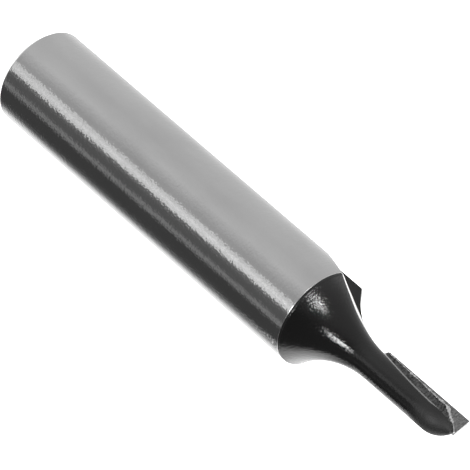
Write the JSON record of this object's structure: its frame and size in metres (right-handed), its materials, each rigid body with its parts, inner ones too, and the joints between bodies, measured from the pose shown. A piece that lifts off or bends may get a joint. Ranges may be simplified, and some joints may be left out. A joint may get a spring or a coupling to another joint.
{
  "type": "straight router bit",
  "caption": "Straight router bit: plain round shank, head flaring down to a slender neck, and one flat carbide blade along the neck and over its nose.",
  "frame": {"origin": "centre of the shank's end face, which the bit stands on", "axes": "+Z along the turning axis from the shank to the tip, +X from the axis to the cutting edge, +Y the way the rake face looks"},
  "size_m": [0.008, 0.008, 0.047],
  "materials": {
    "steel": "ground shank, black coated head and neck",
    "carbide": "ground sintered carbide",
    "solder": "silver solder, smeared by grinding"
  },
  "bodies": {
    "root": {"steel_body": "steel", "carbide_blade": "carbide", "solder_seam": "solder"}
  },
  "joints": []
}
